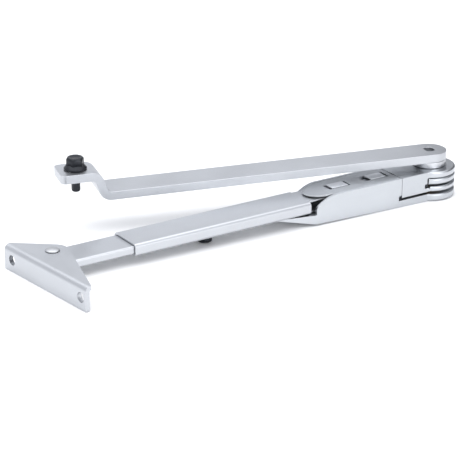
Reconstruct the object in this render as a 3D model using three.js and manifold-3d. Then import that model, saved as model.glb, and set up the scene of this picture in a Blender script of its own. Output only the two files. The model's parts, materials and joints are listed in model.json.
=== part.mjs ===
// Hold-open link arm of an overhead door closer.
//
// Millimetres, +Z up. The origin is on the elbow axis, on the face that the elbow rests on. The forearm
// runs from the elbow towards -X. Each group's own +x runs away from the elbow and its +z is up, so a
// forearm piece is drawn at (distance from the elbow, distance across, height).

import * as THREE from 'three';
import { mergeVertices } from 'three/addons/utils/BufferGeometryUtils.js';
import Module from 'manifold-3d';

const wasm = await Module();
wasm.setup();

// ---------------------------------------------------------------------------------------------------------
// Driving dimensions
// ---------------------------------------------------------------------------------------------------------

const gap = 0.3; // running clearance between neighbouring pieces
const over = 1; // how far a cutting solid stands clear of what it cuts
const lap = 0.1; // how far joined solids run into each other

// Fineness of the round shapes
const smallSegments = 24;
const holeSegments = 32;
const rimSegments = 40;
const roundSegments = 48;
const lugSegments = 72;
const hexagonSides = 6;
const curveSteps = 10;
const edgeSteps = 6;
const wireSteps = 4;
const wireStepsPerTurn = 14;
const bendSteps = 8;
const domeSteps = 5;

// Pose in which the arm is stored
const elbowAngle = 14.69; // degrees between the two arms
const bracketAngle = 6.28; // degrees that the foot bracket is turned from square

// Main arm, a cranked flat bar
const armWidth = 25;
const armThickness = 6;
const armReach = 263.5; // elbow axis to spindle axis
const crankRise = 15;
const crankRun = 4.8;
const crankToSpindle = 13; // top bend of the crank to the spindle axis
const crankBendRadius = 6; // at the middle of the bar's thickness
const endPlateOverhang = 12.8; // spindle axis to the end of the plate
const endPlateCornerRadius = 4;
const spindleSquare = 11; // socket that fits the closer's square spindle

// Spindle screw
const spindleScrewRadius = 3.9;
const dogPointRadius = 3.35;
const dogPointRounding = 1.9; // at the tip
const spindleScrewReach = 10.3; // how far the tip stands out below the end plate
const spindleFlangeRadius = 8;
const spindleFlangeThickness = 1.2; // at the rim
const spindleFlangeRise = 3.2; // from the seat to where the flange's cone meets the hexagon
const spindleHeadHeight = 8.4;
const spindleAcrossFlats = 11;
const hexChamfer = 1.3;
const hexCrownStep = 0.3; // the chamfer's inner circle is this much inside the flats

// Elbow stack, from the base upwards
const lugRadius = 19.25;
const baseLugThickness = 5.3;
const lugSlot = 1.9; // open slot between the base lug and the middle lug
const middleLugThickness = 3.9;
const discPitch = 6.2; // height of the slot between the middle lug and the upper lug
const discStandoff = 1.5; // open height under the detent disc
const upperLugThickness = 4.7;
const spacerThickness = 5;
const spacerRadius = 12.25;

// Pivot axle and its bushes
const axleRadius = 5;
const axleFlatDepth = 0.8;
const axleNeckStep = 1; // the neck is this much smaller than the journal
const axleHeadStep = 1.5;
const axleHeadThickness = 1.7;
const axleRecess = 3; // top of the axle below the top of the main arm
const socketAcrossFlats = 4;
const socketDepth = 2.5;
const bushWall = 1.2;
const bushFlangeStep = 2.5;
const capThickness = 1.5;

// Hold-open housing
const housingWidth = 30;
const housingWall = 2.2;
const housingFloor = 2.2;
const wallStart = 35.6; // elbow axis to the front end of the side walls
const coverFlatEnd = 92; // elbow axis to where the cover starts to curl down
const coverEnd = 110.5;
const coverThickness = 1.7;
const coverTipThickness = 0.5;
const keelRise = 3; // how far the floor rises from the elbow to the keel corner
const keelStart = 25;
const keelCorner = 110.3;
const noseReach = 141;
const noseTipWidth = 16;
const noseGap = 1; // open height between the nose and the tube
const wallFlatEnd = 91; // elbow axis to where the walls start to slope down
const wallShoulder = new THREE.Vector2(106, -5); // from the elbow axis, and from the top of the wall
const wallHeel = new THREE.Vector2(109.8, -8.6);
const hollowFloorEnd = 100; // elbow axis to where the floor rises to the nose
const hollowEnd = 108;
const reliefWidth = 2.4;
const reliefHeight = 4;

// Knuckle block
const blockLength = 62;
const slotReliefStart = 10.5; // elbow axis to the small cross cut at the end of the disc's slot
const slotReliefEnd = 14.7;
const slotReliefDrop = 1.1; // below the slot's lower face
const slotReliefHeight = 3.2;
const slotReliefDepth = 5.5; // from the block's side
const pocketStart = 18;
const pocketHalfWidth = 10;
const pocketFloor = 2;

// Latch
const rollerRadius = 5;
const rollerPinRadius = 2;
const latchStroke = 2.5;
const slideEnd = 56.5;
const forkNose = 3.5; // from the roller's axis to the fork's front end
const guideTenonStart = 42.3;
const guideTenonLength = 13.3;
const guideTenonHalfWidth = 4.4;
const tenonRise = 0.4; // tenon tops above the top of the cover
const guideWindowMargin = 2.3; // free length of the window ahead of the tenon
const notchAngle = 40; // degrees from the forearm to the notch in the detent disc
const notchDepth = 2.5;
const seatStart = 72;
const seatLength = 18;
const seatTenonInset = 3.5;
const seatTenonLength = 13.6;
const seatTenonHalfWidth = 4.2;
const seatWindowMargin = 2.3;
const seatFoot = 5.3; // height of the seat's lower face
const rodClearance = 0.65; // inside the spring's coils
const rodSocketDepth = 8;
const rodEnd = 84;
const springWireRadius = 0.9;
const springTurns = 5;

// Forearm tube and bar
const tubeWidth = 28;
const tubeHeight = 8.7;
const tubeWall = 1.2;
const tubeTopBelowCover = 2.5;
const tubeStart = 96;
const tubeNeckEnd = 113.7; // the tube's sides are cut away up to here, to fit between the housing's walls
const tubeNeckWidth = 21;
const tubeEnd = 255.2;
const tubeEdgeRadius = 2.4;
const barEdgeRadius = 1.3;
const barTail = 140; // elbow axis to the hidden end of the bar
const footReach = 309.2; // elbow axis to foot pivot
const slideIn = 12;
const slideOut = 40;

// Clamp screw
const clampAt = 192.8;
const clampScrewRadius = 3.9;
const clampTipRadius = 3;
const clampHeadHeight = 5.2;
const clampAcrossFlats = 10;
const clampWasherRadius = 6;
const clampWasherThickness = 0.8;
const grooveDepth = 1.2;

// Foot bracket and its rivet
const bracketThickness = 3.1;
const bracketBendRadius = 2.45; // at the middle of the sheet
const bracketHeight = 17;
const bracketLength = 91.7;
const pivotFromEnd = 28.9; // along the flange, from its short end to the rivet
const flangeToBar = 2.8; // open space between the bar's round end and the flange
const bracketApexRadius = 10.9; // of the plate's far edge, about the rivet
const bracketEndWidth = 4.6; // width of the plate at the flange's ends
const screwHoleRadius = 3.5;
const shortEndHoleInset = 8.8; // from the flange's short end
const longEndHoleInset = 5.6; // from the flange's long end
const screwHoleRise = 8.4; // from the flange's lower edge
const rivetRadius = 3;
const rivetHeadRadius = 5;
const rivetHeadHeight = 1.5;
const rivetTailRadius = 4.6;
const rivetTailHeight = 1.2;
const rivetTailChamfer = 0.6;
const footWasherThickness = 1.2;

// ---------------------------------------------------------------------------------------------------------
// Sizes that follow
// ---------------------------------------------------------------------------------------------------------

const degree = Math.PI / 180;
const middleLugBottom = baseLugThickness + lugSlot;
const discBottom = middleLugBottom + middleLugThickness;
const discUnderside = discBottom + discStandoff;
const upperLugBottom = discBottom + discPitch;
const housingTop = upperLugBottom + upperLugThickness;
const armBottom = housingTop + spacerThickness;
const armTop = armBottom + armThickness;
const armMiddle = armBottom + armThickness / 2;
const endPlateTop = armTop + crankRise;
const endPlateBottom = endPlateTop - armThickness;

const axleFlatHalfWidth = axleRadius - axleFlatDepth;
const axleNeckRadius = axleRadius - axleNeckStep;
const axleNeckFlatHalfWidth = axleNeckRadius - axleFlatDepth;
const axleHeadRadius = axleRadius + axleHeadStep;
const bushRadius = axleRadius + gap + bushWall;
const bushFlangeRadius = bushRadius + bushFlangeStep;
const capRadius = axleHeadRadius + gap;
const axleHeadBottom = capThickness + gap;
const axleHeadTop = axleHeadBottom + axleHeadThickness;

const housingHalf = housingWidth / 2;
const housingInner = housingHalf - housingWall;
const coverUnderside = housingTop - coverThickness;
const fittedHalf = housingInner - gap; // half width of what fits between the walls

const tubeTop = housingTop - tubeTopBelowCover;
const tubeBottom = tubeTop - tubeHeight;
const barThickness = tubeHeight - 2 * (tubeWall + gap);
const barHalf = tubeWidth / 2 - tubeWall - gap;
const noseTop = tubeBottom - noseGap;
const pivotFromFlange = barHalf + flangeToBar + bracketThickness; // to the flange's outer face
const barTop = tubeTop - tubeWall - gap;
const barBottom = barTop - barThickness;

const pocketBottom = middleLugBottom + pocketFloor;
const slideBottom = pocketBottom + gap;
const slideTop = coverUnderside - 2 * gap;
const slideHalf = pocketHalfWidth - gap;
const rollerAt = lugRadius + gap + rollerRadius;
const latchAxisHeight = (slideBottom + slideTop) / 2;
const springRadius = (slideTop - slideBottom) / 2 - springWireRadius; // at the middle of the wire
const rodRadius = springRadius - springWireRadius - rodClearance;
const tenonTop = housingTop + tenonRise;

const plateUnderside = barTop + 2 * gap + footWasherThickness;
const plateTop = plateUnderside + bracketThickness;

// ---------------------------------------------------------------------------------------------------------
// Shapes and solids
// ---------------------------------------------------------------------------------------------------------

function toSolid(geometry) {
  geometry.deleteAttribute('normal');
  geometry.deleteAttribute('uv');
  const merged = mergeVertices(geometry);
  const vertProperties = new Float32Array(merged.attributes.position.array);
  const triVerts = new Uint32Array(merged.index.array);
  return new wasm.Manifold(new wasm.Mesh({ numProp: 3, vertProperties, triVerts }));
}

function toGeometry(solid) {
  const mesh = solid.getMesh();
  const geometry = new THREE.BufferGeometry();
  geometry.setAttribute('position', new THREE.BufferAttribute(mesh.vertProperties, 3));
  geometry.setIndex(new THREE.BufferAttribute(mesh.triVerts, 1));
  geometry.computeVertexNormals();
  return geometry;
}

// A box from its two opposite corners.
function block(x0, x1, y0, y1, z0, z1) {
  const geometry = new THREE.BoxGeometry(x1 - x0, y1 - y0, z1 - z0);
  geometry.translate((x0 + x1) / 2, (y0 + y1) / 2, (z0 + z1) / 2);
  return toSolid(geometry);
}

// A box that is centred across the arm.
function bar(x0, x1, halfWidth, z0, z1) {
  return block(x0, x1, -halfWidth, halfWidth, z0, z1);
}

function upright(x, y, radius, z0, z1, segments = roundSegments) {
  const geometry = new THREE.CylinderGeometry(radius, radius, z1 - z0, segments);
  geometry.rotateX(Math.PI / 2);
  geometry.translate(x, y, (z0 + z1) / 2);
  return toSolid(geometry);
}

// A cylinder that lies along the arm.
function lying(x0, x1, radius, z, segments = holeSegments) {
  const geometry = new THREE.CylinderGeometry(radius, radius, x1 - x0, segments);
  geometry.rotateZ(-Math.PI / 2);
  geometry.translate((x0 + x1) / 2, 0, z);
  return toSolid(geometry);
}

// A turned solid; the profile is a list of [radius, height] that starts and ends on the axis.
function turned(profile, x = 0, y = 0, segments = roundSegments) {
  const points = profile.map(([radius, height]) => new THREE.Vector2(radius, height));
  const geometry = new THREE.LatheGeometry(points, segments);
  geometry.rotateX(Math.PI / 2);
  geometry.translate(x, y, 0);
  return toSolid(geometry);
}

function outline(points) {
  return new THREE.Shape(points.map(([x, y]) => new THREE.Vector2(x, y)));
}

// A plan outline raised from z0 to z1.
function raised(shape, z0, z1) {
  const options = { depth: z1 - z0, bevelEnabled: false, curveSegments: curveSteps };
  const geometry = new THREE.ExtrudeGeometry(shape, options);
  geometry.translate(0, 0, z0);
  return toSolid(geometry);
}

// A side outline, in distance along the arm and height, spread from y0 to y1.
function spread(shape, y0, y1) {
  const options = { depth: y1 - y0, bevelEnabled: false, curveSegments: curveSteps };
  const geometry = new THREE.ExtrudeGeometry(shape, options);
  geometry.rotateX(Math.PI / 2);
  geometry.translate(0, y1, 0);
  return toSolid(geometry);
}

// Plan outline of a rectangle whose corners at x1 are rounded.
function roundedEnd(x0, x1, halfWidth, radius) {
  const shape = new THREE.Shape();
  shape.moveTo(x0, -halfWidth);
  shape.lineTo(x1 - radius, -halfWidth);
  shape.absarc(x1 - radius, -halfWidth + radius, radius, -Math.PI / 2, 0, false);
  shape.absarc(x1 - radius, halfWidth - radius, radius, 0, Math.PI / 2, false);
  shape.lineTo(x0, halfWidth);
  return shape;
}

// Outline of a flat-sided section with rounded edges, centred on the origin.
function roundedSection(halfWidth, halfHeight, radius) {
  const shape = new THREE.Shape();
  shape.moveTo(halfWidth, halfHeight - radius);
  shape.absarc(halfWidth - radius, halfHeight - radius, radius, 0, Math.PI / 2, false);
  shape.absarc(-halfWidth + radius, halfHeight - radius, radius, Math.PI / 2, Math.PI, false);
  shape.absarc(-halfWidth + radius, -halfHeight + radius, radius, Math.PI, 1.5 * Math.PI, false);
  shape.absarc(halfWidth - radius, -halfHeight + radius, radius, 1.5 * Math.PI, 2 * Math.PI, false);
  return shape;
}

// A rounded section that runs along the arm from x0 to x1, centred at height z.
function section(halfWidth, halfHeight, radius, x0, x1, z) {
  const shape = roundedSection(halfWidth, halfHeight, radius);
  const options = { depth: x1 - x0, bevelEnabled: false, curveSegments: edgeSteps };
  const geometry = new THREE.ExtrudeGeometry(shape, options);
  geometry.rotateX(Math.PI / 2);
  geometry.rotateZ(Math.PI / 2);
  geometry.translate(x0, 0, z);
  return toSolid(geometry);
}

// Side outline of a bent strip. The points are the corners of its middle line, and each corner is bent to
// the given radius, measured at the middle line.
function bentStrip(points, thickness, bendRadius) {
  const upper = [];
  const lower = [];
  const place = (point, direction) => {
    const normal = new THREE.Vector2(-direction.y, direction.x).multiplyScalar(thickness / 2);
    upper.push(point.clone().add(normal));
    lower.push(point.clone().sub(normal));
  };
  const corners = points.map(([x, y]) => new THREE.Vector2(x, y));
  const last = corners.length - 1;
  const heading = (i) => corners[i + 1].clone().sub(corners[i]).normalize();
  place(corners[0], heading(0));
  for (let i = 1; i < last; i += 1) {
    const before = heading(i - 1);
    const after = heading(i);
    const turn = Math.atan2(before.cross(after), before.dot(after));
    const tangent = bendRadius * Math.tan(Math.abs(turn) / 2);
    const side = Math.sign(turn);
    const start = corners[i].clone().addScaledVector(before, -tangent);
    const inward = new THREE.Vector2(-before.y, before.x).multiplyScalar(side * bendRadius);
    const centre = start.clone().add(inward);
    for (let step = 0; step <= bendSteps; step += 1) {
      const angle = (turn * step) / bendSteps;
      const point = start.clone().rotateAround(centre, angle);
      place(point, before.clone().rotateAround(new THREE.Vector2(), angle));
    }
  }
  place(corners[last], heading(last - 1));
  return new THREE.Shape([...lower, ...upper.reverse()]);
}

// A hexagonal prism with one edge chamfered: the upper one when chamferSide is +1, the lower one when -1.
function hexagon(x, y, acrossFlats, z0, z1, chamferSide) {
  const corner = acrossFlats / Math.sqrt(3);
  const prism = upright(x, y, corner, z0, z1, hexagonSides);
  const flat = acrossFlats / 2;
  const tip = chamferSide > 0 ? z1 : z0;
  const shoulder = tip - chamferSide * hexChamfer;
  const far = chamferSide > 0 ? z0 : z1;
  const wide = corner + over;
  const profile = [[0, far], [wide, far], [wide, shoulder], [flat - hexCrownStep, tip], [0, tip]];
  const ordered = chamferSide > 0 ? profile : profile.reverse();
  return prism.intersect(turned(ordered, x, y));
}

// ---------------------------------------------------------------------------------------------------------
// Materials
// ---------------------------------------------------------------------------------------------------------

function finish(color, roughness, metalness) {
  return new THREE.MeshStandardMaterial({ color, roughness, metalness });
}

const finishes = {
  silver: () => finish(0xc3c6cc, 0.42, 0.85),
  housingSteel: () => finish(0xc8ccd0, 0.45, 0.8),
  plated: () => finish(0xd2d4d8, 0.3, 0.9),
  blackScrew: () => finish(0x16181d, 0.4, 0.5),
  hardSteel: () => finish(0x8d9096, 0.35, 0.95),
  bronze: () => finish(0xa8824a, 0.45, 0.9),
};

function piece(group, name, solid, finishName) {
  const mesh = new THREE.Mesh(toGeometry(solid), finishes[finishName]());
  mesh.name = name;
  group.add(mesh);
}

// ---------------------------------------------------------------------------------------------------------
// Main arm and what turns with it
// ---------------------------------------------------------------------------------------------------------

// The axle's section: round, with two flats.
function doubleFlat(radius, flatHalfWidth, z0, z1) {
  return upright(0, 0, radius, z0, z1).intersect(bar(-flatHalfWidth, flatHalfWidth, radius + over, z0, z1));
}

function mainArm() {
  const crankTop = armReach - crankToSpindle;
  const end = armReach + endPlateOverhang;
  const tail = -armWidth / 2;
  const path = [
    [tail, armMiddle],
    [crankTop - crankRun, armMiddle],
    [crankTop, armMiddle + crankRise],
    [end, armMiddle + crankRise],
  ];
  const strip = spread(bentStrip(path, armThickness, crankBendRadius), -armWidth / 2, armWidth / 2);
  const plan = roundedEnd(0, end, armWidth / 2, endPlateCornerRadius);
  const flat = raised(plan, armBottom - over, endPlateTop + over)
    .add(upright(0, 0, armWidth / 2, armBottom - over, endPlateTop + over));
  const half = spindleSquare / 2;
  const square = block(armReach - half, armReach + half, -half, half,
    endPlateBottom - over, endPlateTop + over);
  const neckHole = doubleFlat(axleNeckRadius + gap, axleNeckFlatHalfWidth + gap,
    armBottom - over, armTop + over);
  return strip.intersect(flat).subtract(square).subtract(neckHole);
}

function spindleScrew() {
  const seat = endPlateTop + gap;
  const tip = endPlateBottom - spindleScrewReach;
  const body = turned([
    [0, tip],
    [dogPointRadius - dogPointRounding, tip],
    [dogPointRadius, tip + dogPointRounding],
    [dogPointRadius, endPlateBottom],
    [spindleScrewRadius, endPlateBottom],
    [spindleScrewRadius, seat],
    [spindleFlangeRadius, seat],
    [spindleFlangeRadius, seat + spindleFlangeThickness],
    [spindleAcrossFlats / 2, seat + spindleFlangeRise],
    [0, seat + spindleFlangeRise],
  ], armReach, 0);
  return body.add(hexagon(armReach, 0, spindleAcrossFlats, seat + lap, seat + spindleHeadHeight, 1));
}

function elbowSpacer() {
  const ring = upright(0, 0, spacerRadius, housingTop + gap, armBottom - gap);
  return ring.subtract(doubleFlat(axleRadius + gap, axleFlatHalfWidth + gap, housingTop, armBottom));
}

function pivotAxle() {
  const shoulder = armBottom - gap;
  const top = armTop - axleRecess;
  const head = upright(0, 0, axleHeadRadius, axleHeadBottom, axleHeadTop);
  const journal = upright(0, 0, axleRadius, axleHeadTop - lap, discUnderside);
  const keyed = doubleFlat(axleRadius, axleFlatHalfWidth, discUnderside - lap, shoulder);
  const neck = doubleFlat(axleNeckRadius, axleNeckFlatHalfWidth, shoulder - lap, top);
  const socket = upright(0, 0, socketAcrossFlats / Math.sqrt(3), top - socketDepth, top + over, hexagonSides);
  return head.add(journal).add(keyed).add(neck).subtract(socket);
}

function detentDisc() {
  const top = upperLugBottom - gap;
  const notchAt = lugRadius - notchDepth + rollerRadius;
  const angle = (notchAngle + elbowAngle) * degree;
  const notchX = notchAt * Math.cos(angle);
  const notchY = notchAt * Math.sin(angle);
  const notch = upright(notchX, notchY, rollerRadius + gap, discUnderside - over, top + over);
  const keyway = doubleFlat(axleRadius + gap, axleFlatHalfWidth + gap, discUnderside - over, top + over);
  return upright(0, 0, lugRadius, discUnderside, top, lugSegments).subtract(notch).subtract(keyway);
}

// ---------------------------------------------------------------------------------------------------------
// Hold-open housing
// ---------------------------------------------------------------------------------------------------------

function housingChannel() {
  const shoulderHeight = housingTop + wallShoulder.y;
  const heelHeight = housingTop + wallHeel.y;
  const keel = (x) => (keelRise * (x - keelStart)) / (keelCorner - keelStart);
  const walls = new THREE.Shape();
  walls.moveTo(keelStart, 0);
  walls.lineTo(keelCorner, keelRise);
  walls.lineTo(noseReach, noseTop);
  walls.lineTo(wallHeel.x, noseTop);
  walls.lineTo(wallHeel.x, heelHeight);
  walls.quadraticCurveTo(wallHeel.x, (heelHeight + shoulderHeight) / 2, wallShoulder.x, shoulderHeight);
  walls.quadraticCurveTo((wallFlatEnd + wallShoulder.x) / 2, housingTop, wallFlatEnd, housingTop);
  walls.lineTo(wallStart, housingTop);
  walls.lineTo(wallStart, baseLugThickness);
  walls.lineTo(keelStart, baseLugThickness);
  const clear = housingTop + over;
  const tip = noseTipWidth / 2;
  const plan = outline([
    [0, -housingHalf],
    [keelCorner, -housingHalf],
    [noseReach, -tip],
    [noseReach, tip],
    [keelCorner, housingHalf],
    [0, housingHalf],
  ]);
  const hollowStart = wallStart + reliefWidth;
  const hollow = outline([
    [hollowStart, clear],
    [hollowStart, keel(hollowStart) + housingFloor],
    [hollowFloorEnd, keel(hollowFloorEnd) + housingFloor],
    [hollowEnd, noseTop],
    [noseReach + over, noseTop],
    [noseReach + over, clear],
  ]);
  const lug = upright(0, 0, lugRadius, 0, baseLugThickness, lugSegments)
    .add(bar(0, keelStart + over, housingHalf, 0, baseLugThickness));
  const mouth = bar(wallStart - over, hollowStart + over, housingInner, baseLugThickness, clear);
  const reliefTop = baseLugThickness + reliefHeight;
  const relief = bar(wallStart - over, hollowStart, housingHalf + over, baseLugThickness, reliefTop);
  const capBore = upright(0, 0, capRadius + gap, -over, axleHeadTop + gap);
  const axleBore = upright(0, 0, axleRadius + gap, 0, baseLugThickness + over);
  return spread(walls, -housingHalf, housingHalf)
    .intersect(raised(plan, -over, clear))
    .subtract(spread(hollow, -housingInner, housingInner))
    .subtract(mouth)
    .subtract(relief)
    .add(lug)
    .subtract(capBore)
    .subtract(axleBore);
}

function housingCover() {
  const start = wallStart + gap;
  const side = new THREE.Shape();
  side.moveTo(start, coverUnderside);
  side.lineTo(coverEnd, coverUnderside);
  side.lineTo(coverEnd, coverUnderside + coverTipThickness);
  side.quadraticCurveTo((coverFlatEnd + coverEnd) / 2, housingTop, coverFlatEnd, housingTop);
  side.lineTo(start, housingTop);
  const plan = new THREE.Shape();
  plan.moveTo(start - over, -fittedHalf);
  plan.lineTo(coverFlatEnd, -fittedHalf);
  plan.absellipse(coverFlatEnd, 0, coverEnd - coverFlatEnd, fittedHalf, -Math.PI / 2, Math.PI / 2, false, 0);
  plan.lineTo(start - over, fittedHalf);
  const below = coverUnderside - over;
  const above = housingTop + over;
  const guideStart = guideTenonStart - guideWindowMargin;
  const guideEnd = guideTenonStart + guideTenonLength + latchStroke + guideWindowMargin;
  const guideWindow = bar(guideStart, guideEnd, guideTenonHalfWidth + gap, below, above);
  const seatTenonStart = seatStart + seatTenonInset;
  const seatTenonEnd = seatTenonStart + seatTenonLength;
  const seatWindow = bar(seatTenonStart - seatWindowMargin, seatTenonEnd + seatWindowMargin,
    seatTenonHalfWidth + gap, below, above);
  return spread(side, -fittedHalf, fittedHalf)
    .intersect(raised(plan, below, above))
    .subtract(guideWindow)
    .subtract(seatWindow);
}

function knuckleBlock() {
  const shank = wallStart - gap;
  const bottom = middleLugBottom - over;
  const top = housingTop + over;
  const tailTop = coverUnderside - gap;
  const head = upright(0, 0, lugRadius, middleLugBottom, housingTop, lugSegments)
    .add(bar(0, shank, housingHalf, middleLugBottom, housingTop));
  const tail = bar(shank - lap, blockLength, fittedHalf, middleLugBottom, tailTop);
  const discSlot = upright(0, 0, lugRadius + gap, discBottom, upperLugBottom, lugSegments);
  const pocket = bar(pocketStart, blockLength + over, pocketHalfWidth, pocketBottom, slideTop + gap);
  const openTop = bar(shank, blockLength + over, pocketHalfWidth, pocketBottom, top);
  const bore = upright(0, 0, bushRadius + gap, bottom, top);
  const reliefBottom = discBottom - slotReliefDrop;
  const relief = (side) => {
    const inner = side * (housingHalf - slotReliefDepth);
    const outer = side * (housingHalf + over);
    return block(slotReliefStart, slotReliefEnd, Math.min(inner, outer), Math.max(inner, outer),
      reliefBottom, reliefBottom + slotReliefHeight);
  };
  return head
    .add(tail)
    .subtract(discSlot)
    .subtract(relief(1))
    .subtract(relief(-1))
    .subtract(pocket)
    .subtract(openTop)
    .subtract(bore);
}

function bush(z0, z1, flangeZ0) {
  const sleeve = upright(0, 0, bushRadius, z0, z1, holeSegments);
  const flange = upright(0, 0, bushFlangeRadius, flangeZ0, z0 + lap, holeSegments);
  const bore = upright(0, 0, axleRadius + gap, flangeZ0 - over, z1 + over, holeSegments);
  return (flangeZ0 < z0 ? sleeve.add(flange) : sleeve).subtract(bore);
}

function springSeat() {
  const tenonStart = seatStart + seatTenonInset;
  const body = bar(seatStart, seatStart + seatLength, fittedHalf, seatFoot, coverUnderside - gap);
  const tenon = bar(tenonStart, tenonStart + seatTenonLength, seatTenonHalfWidth, seatFoot + over, tenonTop);
  const bore = lying(seatStart - over, seatStart + seatLength + over, rodRadius + gap,
    latchAxisHeight, smallSegments);
  return body.add(tenon).subtract(bore);
}

// ---------------------------------------------------------------------------------------------------------
// Latch
// ---------------------------------------------------------------------------------------------------------

function latchSlide() {
  const front = rollerAt - forkNose;
  const body = bar(front, slideEnd, slideHalf, slideBottom, slideTop);
  const forkEnd = rollerAt + rollerRadius + gap;
  const fork = bar(front - over, forkEnd, slideHalf + over, discUnderside - gap, upperLugBottom);
  const tenonEnd = guideTenonStart + guideTenonLength;
  const tenon = bar(guideTenonStart, tenonEnd, guideTenonHalfWidth, slideBottom + over, tenonTop);
  const pinHole = upright(rollerAt, 0, rollerPinRadius + gap,
    slideBottom - over, slideTop + over, smallSegments);
  const socket = lying(slideEnd - rodSocketDepth, slideEnd + over, rodRadius + gap,
    latchAxisHeight, smallSegments);
  return body.add(tenon).subtract(fork).subtract(pinHole).subtract(socket);
}

function latchRoller() {
  const rim = upright(rollerAt, 0, rollerRadius, discUnderside, upperLugBottom - gap, rimSegments);
  const bore = upright(rollerAt, 0, rollerPinRadius + gap,
    discUnderside - over, upperLugBottom, smallSegments);
  return rim.subtract(bore);
}

function rollerPin() {
  return upright(rollerAt, 0, rollerPinRadius, slideBottom + gap, slideTop - gap, smallSegments);
}

function guideRod() {
  return lying(slideEnd - rodSocketDepth + gap, rodEnd, rodRadius, latchAxisHeight, smallSegments);
}

// The wire follows a helix between the slide and the seat.
class SpringLine extends THREE.Curve {
  constructor(start, length) {
    super();
    this.start = start;
    this.length = length;
  }

  getPoint(t, target = new THREE.Vector3()) {
    const angle = 2 * Math.PI * springTurns * t;
    const y = springRadius * Math.cos(angle);
    const z = latchAxisHeight + springRadius * Math.sin(angle);
    return target.set(this.start + this.length * t, y, z);
  }
}

function latchSpring() {
  const start = slideEnd + gap + springWireRadius;
  const length = seatStart - gap - springWireRadius - start;
  const wire = new THREE.Shape();
  wire.absarc(0, 0, springWireRadius, 0, 2 * Math.PI, false);
  const geometry = new THREE.ExtrudeGeometry(wire, {
    steps: springTurns * wireStepsPerTurn,
    curveSegments: wireSteps,
    extrudePath: new SpringLine(start, length),
  });
  return toSolid(geometry);
}

// ---------------------------------------------------------------------------------------------------------
// Forearm tube, bar and clamp screw
// ---------------------------------------------------------------------------------------------------------

function outerTube() {
  const middle = (tubeTop + tubeBottom) / 2;
  const outside = section(tubeWidth / 2, tubeHeight / 2, tubeEdgeRadius, tubeStart, tubeEnd, middle);
  const innerRadius = tubeEdgeRadius - tubeWall;
  const inside = section(tubeWidth / 2 - tubeWall, tubeHeight / 2 - tubeWall, innerRadius,
    tubeStart - over, tubeEnd + over, middle);
  const low = tubeBottom - over;
  const high = tubeTop + over;
  const neck = tubeNeckWidth / 2;
  const side = tubeWidth / 2 + over;
  const leftCut = block(tubeStart - over, tubeNeckEnd, neck, side, low, high);
  const rightCut = block(tubeStart - over, tubeNeckEnd, -side, -neck, low, high);
  const screwHole = upright(clampAt, 0, clampScrewRadius + gap,
    low, tubeBottom + tubeWall + lap, holeSegments);
  return outside.subtract(inside).subtract(leftCut).subtract(rightCut).subtract(screwHole);
}

function innerBar() {
  const middle = (barTop + barBottom) / 2;
  const end = footReach + barHalf;
  const straight = section(barHalf, barThickness / 2, barEdgeRadius, barTail, end, middle);
  const plan = raised(outline([
    [barTail - over, -barHalf - over],
    [footReach, -barHalf - over],
    [footReach, barHalf + over],
    [barTail - over, barHalf + over],
  ]), barBottom - over, barTop + over).add(upright(footReach, 0, barHalf, barBottom - over, barTop + over));
  const grooveHalf = clampTipRadius + gap;
  const groove = bar(clampAt - slideOut - grooveHalf, clampAt + slideIn + grooveHalf, grooveHalf,
    barBottom - over, barBottom + grooveDepth);
  const rivetHole = upright(footReach, 0, rivetRadius + gap, barBottom - over, barTop + over, holeSegments);
  return straight.intersect(plan).subtract(groove).subtract(rivetHole);
}

function clampScrew() {
  const headTop = tubeBottom - 2 * gap - clampWasherThickness;
  const headBottom = headTop - clampHeadHeight;
  const shankTop = barBottom - gap;
  const head = hexagon(clampAt, 0, clampAcrossFlats, headBottom, headTop, -1);
  const shank = upright(clampAt, 0, clampScrewRadius, headTop - lap, shankTop, holeSegments);
  const tipTop = barBottom + grooveDepth - gap;
  const tip = upright(clampAt, 0, clampTipRadius, shankTop - lap, tipTop, holeSegments);
  return head.add(shank).add(tip);
}

function clampWasher() {
  const top = tubeBottom - gap;
  const bottom = top - clampWasherThickness;
  const ring = upright(clampAt, 0, clampWasherRadius, bottom, top);
  const hole = upright(clampAt, 0, clampScrewRadius + gap, bottom - over, top + over, holeSegments);
  return ring.subtract(hole);
}

// ---------------------------------------------------------------------------------------------------------
// Foot bracket, drawn with its pivot at the origin and its flange square to +x
// ---------------------------------------------------------------------------------------------------------

// Where a line from a point touches a circle about the origin; side is +1 or -1.
function tangentPoint(x, y, radius, side) {
  const distance = Math.hypot(x, y);
  const along = (radius / distance) ** 2;
  const across = (side * radius * Math.sqrt(distance ** 2 - radius ** 2)) / distance ** 2;
  return new THREE.Vector2(x * along - y * across, y * along + x * across);
}

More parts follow.
